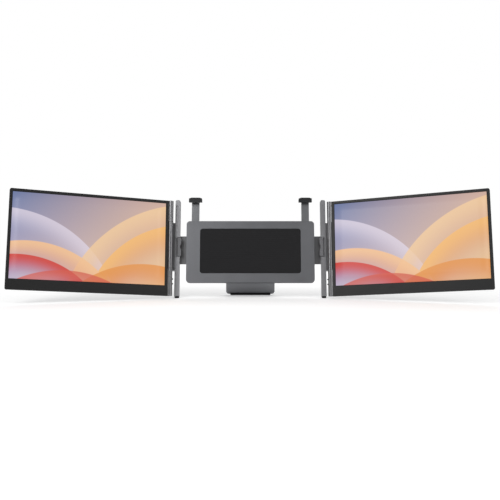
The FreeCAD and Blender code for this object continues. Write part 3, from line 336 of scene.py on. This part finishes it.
def lit_picture(name):
    """Display picture: two crossed gradients under overlapping arcs.

    Each arc is the distance from its centre: full at its outer radius, fading towards the inside over
    its width, with a crisp outer edge. Distances are in picture heights, read from the piece's UV map.
    """
    # Lit liquid-crystal display behind anti-glare film: even colours with a faint soft reflection.
    look = bpy.context.scene.extender_picture
    material, tree = new_material(name)
    place = add_node(tree, "ShaderNodeUVMap", {"uv_map": "picture"}).outputs["UV"]
    parts = add_node(tree, "ShaderNodeSeparateXYZ", sockets={0: place}).outputs
    low = blended(tree, parts["X"], rgba(look.bottom_left), rgba(look.bottom_right))
    high = blended(tree, parts["X"], rgba(look.top_left), rgba(look.top_right))
    picture = blended(tree, parts["Y"], low, high)
    sockets = {0: place, 1: PICTURE_SHAPE}
    spot = add_node(tree, "ShaderNodeVectorMath", {"operation": "MULTIPLY"}, sockets).outputs[0]
    for centre, radius, width, inner, outer, cover in ARCS:
        sockets = {0: spot, 1: (*centre, 0.0)}
        far = add_node(tree, "ShaderNodeVectorMath", {"operation": "DISTANCE"}, sockets).outputs["Value"]
        rise = ranged(tree, far, (radius - width, radius), (0.0, cover), "SMOOTHSTEP")
        rim = ranged(tree, far, (radius, radius + ARC_RIM), (1.0, 0.0))
        tint = blended(tree, rise, rgba(linear(inner)), rgba(linear(outer)))
        picture = blended(tree, maths(tree, "MULTIPLY", rise, rim), picture, tint)
    shader = add_node(
        tree,
        "ShaderNodeBsdfPrincipled",
        sockets={
            "Base Color": rgba(linear("#151518")),
            "Roughness": 0.42,
            "IOR": 1.49,
            "Emission Color": picture,
            "Emission Strength": look.glow,
        },
    )
    add_node(tree, "ShaderNodeOutputMaterial", sockets={"Surface": shader.outputs[0]})
    return material


def paint(material, *names):
    """Puts a material in every slot of CAD nodes."""
    for name in names:
        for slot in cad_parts[name].material_slots:
            slot.link = "OBJECT"
            slot.material = material


def paint_sides(material, *names):
    for side in SIDES:
        paint(material, *[f"{side}_{name}" for name in names])


def node_points(name):
    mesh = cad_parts[name].data
    values = np.empty(len(mesh.vertices) * 3)
    mesh.vertices.foreach_get("co", values)
    return values.reshape(-1, 3)


def slab_axes(name):
    """Unit axes of a slab across, up and front, from the principal axes of its corners."""
    points = np.unique(np.round(node_points(name), 6), axis=0)
    across, up, front = np.linalg.svd(points - points.mean(axis=0), full_matrices=False)[2]
    return np.array([across * np.sign(across[0]), up * np.sign(up[2]), front * -np.sign(front[1])])


def span(name, turn):
    """Lowest and highest corner of a node along the given axes."""
    local = node_points(name) @ turn.T
    return local.min(axis=0), local.max(axis=0)


def grid_quads(rows, columns, start=0):
    """Quads of a grid of points, counted from start."""
    row, column = np.meshgrid(np.arange(rows - 1), np.arange(columns - 1), indexing="ij")
    here = start + row * columns + column
    return np.stack([here, here + 1, here + 1 + columns, here + columns], axis=-1).reshape(-1, 4)


def skin(rings, turn, closed=False):
    """Surface over rings of points given along the axes of turn: quads that wrap round each ring.

    A closed row joins its last ring to its first, an open one ends in two flat caps. The faces are
    turned so that the volume inside them is positive.
    """
    count, size = rings.shape[:2]
    row, step = np.meshgrid(np.arange(count if closed else count - 1), np.arange(size), indexing="ij")
    next_row = (row + 1) % count
    next_step = (step + 1) % size
    corners = [row * size + step, row * size + next_step, next_row * size + next_step, next_row * size + step]
    quads = np.stack(corners, axis=-1).reshape(-1, 4)
    points = rings.reshape(-1, 3) @ turn
    first, second, third, fourth = (points[quads[:, n]] - points.mean(axis=0) for n in range(4))
    volume = (first * (np.cross(second, third) + np.cross(third, fourth))).sum()
    order = 1 if volume > 0 else -1
    ends = np.array([np.arange(size)[::-1], np.arange(size) + (count - 1) * size])
    caps = np.empty((0, size), int) if closed else ends[:, ::order]
    return points, quads[:, ::order], caps


def make_piece(name, parts, material, body):
    """One object from parts of points, quads and caps, on a body and in a material slot."""
    starts = np.cumsum([0] + [len(points) for points, quads, caps in parts])
    faces = []
    for start, (points, quads, caps) in zip(starts, parts):
        faces += (quads + start).tolist() + (caps + start).tolist()
    mesh = bpy.data.meshes.new(name)
    mesh.from_pydata(np.concatenate([points for points, quads, caps in parts]).tolist(), [], faces)
    mesh.materials.append(material)
    mesh.shade_smooth()
    mesh.set_sharp_from_angle(angle=SMOOTH_ANGLE)
    piece = bpy.data.objects.new(name, mesh)
    bpy.context.scene.collection.objects.link(piece)
    if body:
        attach(piece, body)
    return piece


# Half width of the floor in metres, and its points along each side.
FLOOR_HALF = 14.0
FLOOR_POINTS = 9


class EXTENDER_OT_stage(bpy.types.Operator):
    """Sets up the camera, the lights, the sky and the floor."""

    bl_idname = "extender.stage"
    bl_label = "Stage"

    def execute(self, context):
        stage = context.scene.extender_stage
        camera = bpy.data.objects.new("camera", bpy.data.cameras.new("camera"))
        camera.data.sensor_width = SENSOR_MM
        camera.data.lens = FOCAL_PIXELS / VIEW_PIXELS * SENSOR_MM
        camera.location = CAMERA_PLACE
        camera.rotation_euler = (math.pi / 2 - stage.pitch, 0, 0)
        context.scene.collection.objects.link(camera)
        context.scene.camera = camera
        # Name, power, side and place of each square light, which faces the object.
        lights = (
            ("key_light", stage.key, 1.1, (-1.3, -1.7, 1.3)),
            ("fill_light", stage.fill, 1.3, (1.7, -1.3, 0.9)),
            ("back_light", stage.back, 1.4, (0.3, 1.6, 1.5)),
        )
        for name, power, size, spot in lights:
            light = bpy.data.lights.new(name, "AREA")
            light.energy = power
            light.size = size
            lamp = bpy.data.objects.new(name, light)
            lamp.location = spot
            aim = -np.array(spot)
            tilt = math.atan2(math.hypot(aim[0], aim[1]), -aim[2])
            lamp.rotation_euler = (tilt, 0, math.atan2(aim[1], aim[0]) - math.pi / 2)
            context.scene.collection.objects.link(lamp)
        self.make_sky(context, stage)
        self.make_floor(stage)
        context.scene.view_settings.view_transform = "Standard"
        return {"FINISHED"}

    def make_sky(self, context, stage):
        """White in view, a soft light on the object, and dimmer in its reflections."""
        world = bpy.data.worlds.new("sky")
        world.use_nodes = True
        tree = world.node_tree
        tree.nodes.clear()
        path = add_node(tree, "ShaderNodeLightPath").outputs
        seen = maths(tree, "MAXIMUM", path["Is Camera Ray"], path["Is Transmission Ray"])
        lit = ranged(tree, path["Is Glossy Ray"], UNIT, (stage.sky, stage.gloss_sky))
        strength = ranged(tree, seen, UNIT, (lit, 1.0))
        white = add_node(tree, "ShaderNodeBackground", sockets={"Color": WHITE, "Strength": strength})
        add_node(tree, "ShaderNodeOutputWorld", sockets={"Surface": white.outputs[0]})
        context.scene.world = world

    def make_floor(self, stage):
        """Wide flat floor at the object's lowest point."""
        low = float(np.array(CAD_BOUNDS).reshape(2, 3)[0][2])
        steps = np.linspace(-FLOOR_HALF, FLOOR_HALF, FLOOR_POINTS)
        across, deep = np.meshgrid(steps, steps, indexing="xy")
        points = np.stack([across.ravel(), deep.ravel(), np.full(across.size, low)], axis=1)
        part = (points, grid_quads(FLOOR_POINTS, FLOOR_POINTS), NO_CAPS)
        floor = make_piece("floor", [part], self.white_laminate(stage), None)

    def white_laminate(self, stage):
        # White laminate top: a slight glow in view lifts the lit floor to white and keeps the shadows,
        # and in view it fades to plain white away from the object.
        material, tree = new_material("white_laminate")
        seen = add_node(tree, "ShaderNodeLightPath").outputs["Is Camera Ray"]
        place = add_node(tree, "ShaderNodeTexCoord").outputs["Object"]
        far = add_node(tree, "ShaderNodeVectorMath", {"operation": "LENGTH"}, {0: place}).outputs["Value"]
        clear = ranged(tree, far, (stage.clear_start, stage.clear_end), UNIT, "SMOOTHSTEP")
        sockets = {
            "Base Color": (0.86, 0.86, 0.86, 1),
            "Roughness": 0.9,
            "Specular IOR Level": 0.1,
            "Emission Color": WHITE,
            "Emission Strength": maths(tree, "MULTIPLY", seen, stage.floor_glow),
        }
        top = add_node(tree, "ShaderNodeBsdfPrincipled", sockets=sockets).outputs[0]
        white = add_node(tree, "ShaderNodeEmission", sockets={"Color": WHITE, "Strength": 1.0}).outputs[0]
        sockets = {0: maths(tree, "MULTIPLY", clear, seen), 1: top, 2: white}
        shader = add_node(tree, "ShaderNodeMixShader", sockets=sockets)
        add_node(tree, "ShaderNodeOutputMaterial", sockets={"Surface": shader.outputs[0]})
        return material


class EXTENDER_OT_metalwork(bpy.types.Operator):
    """Finishes the columns, hinges, arms, centre plate and kickstand."""

    bl_idname = "extender.metalwork"
    bl_label = "Metalwork"

    def execute(self, context):
        look = context.scene.extender_finish
        column = anodised_aluminium("anodised_column_aluminium", look.column_metal)
        paint_sides(column, "column", "column_cover")
        hinge = brushed_aluminium("brushed_hinge_aluminium", look.hinge_metal)
        paint_sides(hinge, "hinge_barrel", "hinge_strips", "arm_plate")
        plate = anodised_aluminium("anodised_plate_aluminium", look.body_metal)
        paint(plate, "centre_front_plate", "kickstand_leg")
        steel = bright_steel("stainless_steel")
        paint(steel, "kickstand_pin")
        paint_sides(steel, "clip_stem", "gripper_pin", "hinge_pins", "slide_spring", "ports")
        paint_sides(sintered_bronze("sintered_bronze"), "hinge_bushes")
        return {"FINISHED"}


class EXTENDER_OT_mouldings(bpy.types.Operator):
    """Finishes the plastic and rubber mouldings and the electronics."""

    bl_idname = "extender.mouldings"
    bl_label = "Mouldings"

    def execute(self, context):
        look = context.scene.extender_finish
        paint_sides(moulded_abs("bezel_abs", look.bezel_black), "bezel_frame", "power_button", "menu_button")
        paint_sides(moulded_nylon("clip_nylon", look.clip_black), "top_clip")
        paint_sides(moulded_abs("cover_abs", look.cover_grey), "rear_cover")
        paint(moulded_abs("shell_abs", look.shell_grey), "centre_rear_shell", "arm_rails")
        paint_sides(moulded_nylon("gripper_nylon", look.grip_grey), "gripper")
        rubber = moulded_rubber("silicone_rubber", look.rubber_black)
        paint(rubber, "kickstand_foot", "rest_pad")
        paint_sides(rubber, "column_foot", "gripper_pad")
        paint_sides(black_glass("anti_glare_glass"), "display_panel")
        paint_sides(diffuser_film("diffuser_film"), "backlight")
        paint_sides(glass_epoxy("glass_epoxy"), "driver_board")
        return {"FINISHED"}


# Points of the film up and across.
FILM_GRID = (10, 17)
# Points of the gasket's quarter circle, and how far its inner edge stands before the film.
GASKET_POINTS = 7
GASKET_LIP = 0.08 * MM


class EXTENDER_OT_pictures(bpy.types.Operator):
    """Makes the picture film of each side display and the gasket round it."""

    bl_idname = "extender.pictures"
    bl_label = "Pictures"

    def execute(self, context):
        look = context.scene.extender_picture
        detail = context.scene.extender_detail
        picture = lit_picture("lit_picture")
        foam = foam_tape("foam_tape")
        for side in SIDES:
            turn = slab_axes(f"{side}_display_panel")
            low, high = span(f"{side}_display_panel", turn)
            middle = (low + high) / 2
            window = (high - low)[:2] / 2 - look.glass_lap
            self.make_film(side, look, middle, window, high[2], turn, picture)
            self.make_gasket(side, look, detail, middle, window, high[2], turn, foam)
        return {"FINISHED"}

    def make_film(self, side, look, middle, window, glass, turn, material):
        """Flat grid before the glass: middle + a across + b up, with a and b from -1 to 1."""
        rows, columns = FILM_GRID
        up, across = np.meshgrid(np.linspace(-1, 1, rows), np.linspace(-1, 1, columns), indexing="ij")
        flat = np.stack([across.ravel(), up.ravel()], axis=1)
        spots = middle[:2] + flat * (window - look.margin)
        local = np.column_stack([spots, np.full(len(spots), glass + look.lift)])
        quads = grid_quads(rows, columns)
        part = (local @ turn, quads, NO_CAPS)
        piece = make_piece(f"{side}_picture", [part], material, f"{side}_monitor")
        layer = piece.data.uv_layers.new(name="picture")
        layer.data.foreach_set("uv", (flat / 2 + 0.5)[quads.ravel()].ravel())
        film = piece.modifiers.new("film", "SOLIDIFY")
        film.thickness = look.film
        film.offset = -1

    def make_gasket(self, side, look, detail, middle, window, glass, turn, material):
        """Frame with mitred corners: at each corner the profile runs inwards along both sides.

        The profile falls from its full height at the bezel to the film on a quarter circle.
        """
        angle = np.linspace(0, math.pi / 2, GASKET_POINTS)
        inward = np.concatenate([[0], detail.gasket_wide * np.sin(angle), [detail.gasket_wide]])
        fall = (detail.gasket_high - look.lift) * np.cos(angle)
        height = np.concatenate([[0], fall + GASKET_LIP, [0]]) + look.lift + glass
        corners = np.array([(-1, -1), (1, -1), (1, 1), (-1, 1)])
        reach = window[None, None, :] - inward[None, :, None]
        spots = middle[:2] + corners[:, None, :] * reach
        levels = np.broadcast_to(height[None, :, None], (*spots.shape[:2], 1))
        rings = np.concatenate([spots, levels], axis=2)
        make_piece(f"{side}_gasket", [skin(rings, turn, True)], material, f"{side}_monitor")


# Air on each side of a washer, and the sections round it.
WASHER_GAP = 0.03 * MM
WASHER_STEPS = 64


class EXTENDER_OT_washers(bpy.types.Operator):
    """Makes the washers between each hinge barrel and the monitor's strips."""

    bl_idname = "extender.washers"
    bl_label = "Hinge washers"

    def execute(self, context):
        detail = context.scene.extender_detail
        material = acetal_resin("acetal_resin")
        for side in SIDES:
            turn = slab_axes(f"{side}_display_panel")
            pin_low, pin_high = span(f"{side}_hinge_pins", turn)
            axis = (pin_low + pin_high) / 2
            low, high = span(f"{side}_hinge_barrel", turn)
            gap = detail.washer_thick / 2 + WASHER_GAP
            parts = [self.washer(axis, level, detail, turn) for level in (low[1] - gap, high[1] + gap)]
            make_piece(f"{side}_hinge_washers", parts, material, f"{side}_monitor")
        return {"FINISHED"}

    def washer(self, axis, level, detail, turn):
        """Ring: a section with cut corners carried round the hinge axis."""
        half = detail.washer_thick / 2
        cut = half / 2
        low, high = detail.washer_inner, detail.washer_outer
        reach = np.array([low, low + cut, high - cut, high, high, high - cut, low + cut, low])
        rise = np.array([-cut, -half, -half, -cut, cut, half, half, cut])
        angle = np.linspace(0, 2 * math.pi, WASHER_STEPS, endpoint=False)[:, None]
        rings = np.stack(
            [
                axis[0] + reach * np.cos(angle),
                np.broadcast_to(level + rise, (len(angle), len(rise))),
                axis[2] + reach * np.sin(angle),
            ],
            axis=-1,
        )
        return skin(rings, turn, True)


# Section of a louvre from its lower edge up: shares of its height and of its hood, and 1 where it is sunk.
LOUVRE_RISE = np.array([0, 0.04, 0.12, 0.4, 0.75, 1.0, 1.0, 0])
LOUVRE_HOOD = np.array([0, 0.9, 1.0, 0.72, 0.3, 0.05, 0, 0])
LOUVRE_SUNK = np.array([1, 0, 0, 0, 0, 0, 1, 1])
# How far a louvre is sunk into the cover, and the sections along it.
LOUVRE_SINK = 0.05 * MM
LOUVRE_STEPS = 15


class EXTENDER_OT_vents(bpy.types.Operator):
    """Makes the rows of louvres on the rear covers."""

    bl_idname = "extender.vents"
    bl_label = "Vents"

    def execute(self, context):
        detail = context.scene.extender_detail
        material = moulded_abs("vent_abs", context.scene.extender_finish.cover_grey)
        for side in SIDES:
            turn = slab_axes(f"{side}_display_panel")
            low, high = span(f"{side}_rear_cover", turn)
            middle = (low[0] + high[0]) / 2
            top = high[1] - detail.vent_drop
            places = [
                (middle + sign * detail.vent_across, top - row * detail.vent_step)
                for sign in (-1, 1)
                for row in range(detail.vent_rows)
            ]
            parts = [self.louvre(across, height, low[2], detail, turn) for across, height in places]
            make_piece(f"{side}_vents", parts, material, f"{side}_monitor")
        return {"FINISHED"}

    def louvre(self, across, height, rear, detail, turn):
        """Hood open downwards: its section slopes from the lip to the cover and rises as a sine's root."""
        along = np.linspace(0, 1, LOUVRE_STEPS)[:, None]
        swell = np.sqrt(np.maximum(np.sin(math.pi * along), 0))
        grid = (LOUVRE_STEPS, len(LOUVRE_RISE))
        rings = np.stack(
            [
                np.broadcast_to(across + (along - 0.5) * detail.vent_long, grid),
                np.broadcast_to(height + LOUVRE_RISE * detail.vent_tall, grid),
                rear - LOUVRE_HOOD * detail.vent_proud * swell + LOUVRE_SUNK * LOUVRE_SINK,
            ],
            axis=-1,
        )
        return skin(rings, turn)


# Points of the mat up and across, and a length that keeps its middle from a division by nothing.
MAT_GRID = (150, 60)
TINY = 1e-12


class EXTENDER_OT_mat(bpy.types.Operator):
    """Makes the ribbed rubber mat on the centre plate."""

    bl_idname = "extender.mat"
    bl_label = "Mat"

    def execute(self, context):
        detail = context.scene.extender_detail
        turn = slab_axes("rest_pad")
        low, high = span("rest_pad", turn)
        middle = (low + high) / 2
        half = (high - low) / 2
        rows, columns = MAT_GRID
        up, across = np.meshgrid(np.linspace(-1, 1, rows), np.linspace(-1, 1, columns), indexing="ij")
        flat = np.stack([across.ravel(), up.ravel()], axis=1) * half[:2]
        inside = (half[:2] - abs(flat)).min(axis=1)
        # Edge falls away on a quarter circle, and ribs are a cosine wave up the mat.
        bend = detail.mat_bend
        fall = bend - np.sqrt(np.maximum(bend**2 - np.maximum(bend - inside, 0) ** 2, 0))
        wave = 0.5 - 0.5 * np.cos(2 * math.pi * flat[:, 1] / detail.rib_step)
        border = np.clip((inside - detail.mat_border) / MM, 0, 1)
        height = half[2] - fall - detail.rib_deep * border * wave**2
        outline = self.rounded(flat, half[:2], detail.mat_round)
        front = np.column_stack([outline, height])
        rear = np.column_stack([outline, np.full(len(outline), -half[2])])
        count = len(front)
        rim = np.concatenate(
            [
                np.arange(columns),
                np.arange(2, rows + 1) * columns - 1,
                np.arange(rows * columns - 2, (rows - 1) * columns - 1, -1),
                np.arange(rows - 2, 0, -1) * columns,
            ]
        )
        following = np.roll(rim, -1)
        wall = np.stack([rim, rim + count, following + count, following], axis=1)
        back = grid_quads(rows, columns, count)[:, ::-1]
        part = (
            (middle + np.concatenate([front, rear])) @ turn,
            np.concatenate([grid_quads(rows, columns), back, wall]),
            NO_CAPS,
        )
        material = moulded_rubber("mat_rubber", context.scene.extender_finish.rubber_black)
        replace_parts(make_piece("rest_mat", [part], material, "centre"), "rest_pad")
        return {"FINISHED"}

    def rounded(self, flat, half, radius):
        """Rounds a grid's corners: each corner square is drawn in to a quarter disc."""
        core = np.clip(flat, -(half - radius), half - radius)
        offset = flat - core
        longest = abs(offset).max(axis=1)
        length = np.maximum(np.hypot(offset[:, 0], offset[:, 1]), TINY)
        return core + offset * (longest / length)[:, None]


# Least distance between two screws, depth at which a screw's tip is measured, and points of each ring.
SCREW_APART = 6 * MM
TIP_DEPTH = 0.1 * MM
SCREW_STEPS = 36
# Shares of the head's radius: from where a point counts to the head, and the rounding of its edge.
HEAD_FROM = 0.8
HEAD_EDGE = 0.12


class EXTENDER_OT_screws(bpy.types.Operator):
    """Makes the screws with hexagon sockets at the rear."""

    bl_idname = "extender.screws"
    bl_label = "Screws"

    def execute(self, context):
        material = bright_steel("screw_steel")
        self.replace_screws("centre_screws", "centre", slab_axes("rest_pad"), material)
        for side in SIDES:
            turn = slab_axes(f"{side}_display_panel")
            self.replace_screws(f"{side}_cover_screws", f"{side}_monitor", turn, material)
        return {"FINISHED"}

    def replace_screws(self, node, body, turn, material):
        local = node_points(node) @ turn.T
        groups = [single for group in self.split(local, 0) for single in self.split(group, 1)]
        parts = [self.screw(group, turn) for group in groups]
        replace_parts(make_piece(f"{node}_made", parts, material, body), node)

    def split(self, points, axis):
        """Groups of points with more than SCREW_APART between them along an axis."""
        order = np.argsort(points[:, axis], kind="stable")
        breaks = np.flatnonzero(np.diff(points[order, axis]) > SCREW_APART) + 1
        return np.split(points[order], breaks)

    def screw(self, points, turn):
        """Turned profile whose inner rings follow a hexagon: radius r / cos(a), a folded into 60 degrees."""
        low = points.min(axis=0)
        high = points.max(axis=0)
        middle = (low + high) / 2
        radius = (high[0] - low[0]) / 2
        length = high[2] - low[2]
        wide = abs(points[:, 0] - middle[0]) > radius * HEAD_FROM
        head = points[wide, 2].max() - low[2]
        tip = points[points[:, 2] > high[2] - TIP_DEPTH]
        shank = (tip[:, 0].max() - tip[:, 0].min()) / 2
        hexagon = radius * bpy.context.scene.extender_detail.socket
        edge = HEAD_EDGE * radius
        # Distance from the axis, depth from the rear face, and 1 where the ring is a hexagon.
        profile = np.array(
            [
                (hexagon * 0.05, 0.55 * head, 1),
                (hexagon * 0.96, 0.55 * head, 1),
                (hexagon, 0.5 * head, 1),
                (hexagon, edge * 0.3, 1),
                (hexagon + edge, 0.0, 0.6),
                (radius - edge, 0.0, 0),
                (radius, edge, 0),
                (radius, head, 0),
                (shank, head, 0),
                (shank, length - shank * 0.4, 0),
                (shank * 0.6, length, 0),
                (shank * 0.05, length, 0),
            ]
        )
        angle = np.linspace(0, 2 * math.pi, SCREW_STEPS, endpoint=False)
        folded = (angle + math.pi / 6) % (math.pi / 3) - math.pi / 6
        stretch = 1 + profile[:, 2:3] * (1 / np.cos(folded)[None, :] - 1)
        reach = profile[:, 0:1] * stretch
        depth = low[2] + np.repeat(profile[:, 1:2], len(angle), axis=1)
        across = middle[0] + reach * np.cos(angle)
        up = middle[1] + reach * np.sin(angle)
        return skin(np.stack([across, up, depth], axis=-1), turn)


class EXTENDER_PT_panel(bpy.types.Panel):
    """Buttons that make each group, and the sizes and colours that they use."""

    bl_idname = "EXTENDER_PT_panel"
    bl_label = "Screen Extender"
    bl_space_type = "VIEW_3D"
    bl_region_type = "UI"
    bl_category = "Extender"

    def draw(self, context):
        for operator in OPERATORS:
            self.layout.operator(operator.bl_idname)
        for name, group in GROUPS.items():
            for field in group.__annotations__:
                self.layout.prop(getattr(context.scene, name), field)


GROUPS = {
    "extender_finish": ExtenderFinish,
    "extender_picture": ExtenderPicture,
    "extender_detail": ExtenderDetail,
    "extender_stage": ExtenderStage,
}
OPERATORS = (
    EXTENDER_OT_stage,
    EXTENDER_OT_metalwork,
    EXTENDER_OT_mouldings,
    EXTENDER_OT_pictures,
    EXTENDER_OT_washers,
    EXTENDER_OT_vents,
    EXTENDER_OT_mat,
    EXTENDER_OT_screws,
)


def register():
    for name, group in GROUPS.items():
        bpy.utils.register_class(group)
        setattr(bpy.types.Scene, name, PointerProperty(type=group))
    for made in (*OPERATORS, EXTENDER_PT_panel):
        bpy.utils.register_class(made)


def unregister():
    for made in (EXTENDER_PT_panel, *reversed(OPERATORS)):
        bpy.utils.unregister_class(made)
    for name, group in GROUPS.items():
        delattr(bpy.types.Scene, name)
        bpy.utils.unregister_class(group)


def main():
    register()
    bpy.ops.extender.stage()
    bpy.ops.extender.metalwork()
    bpy.ops.extender.mouldings()
    bpy.ops.extender.pictures()
    bpy.ops.extender.washers()
    bpy.ops.extender.vents()
    bpy.ops.extender.mat()
    bpy.ops.extender.screws()


if __name__ == "__main__":
    main()
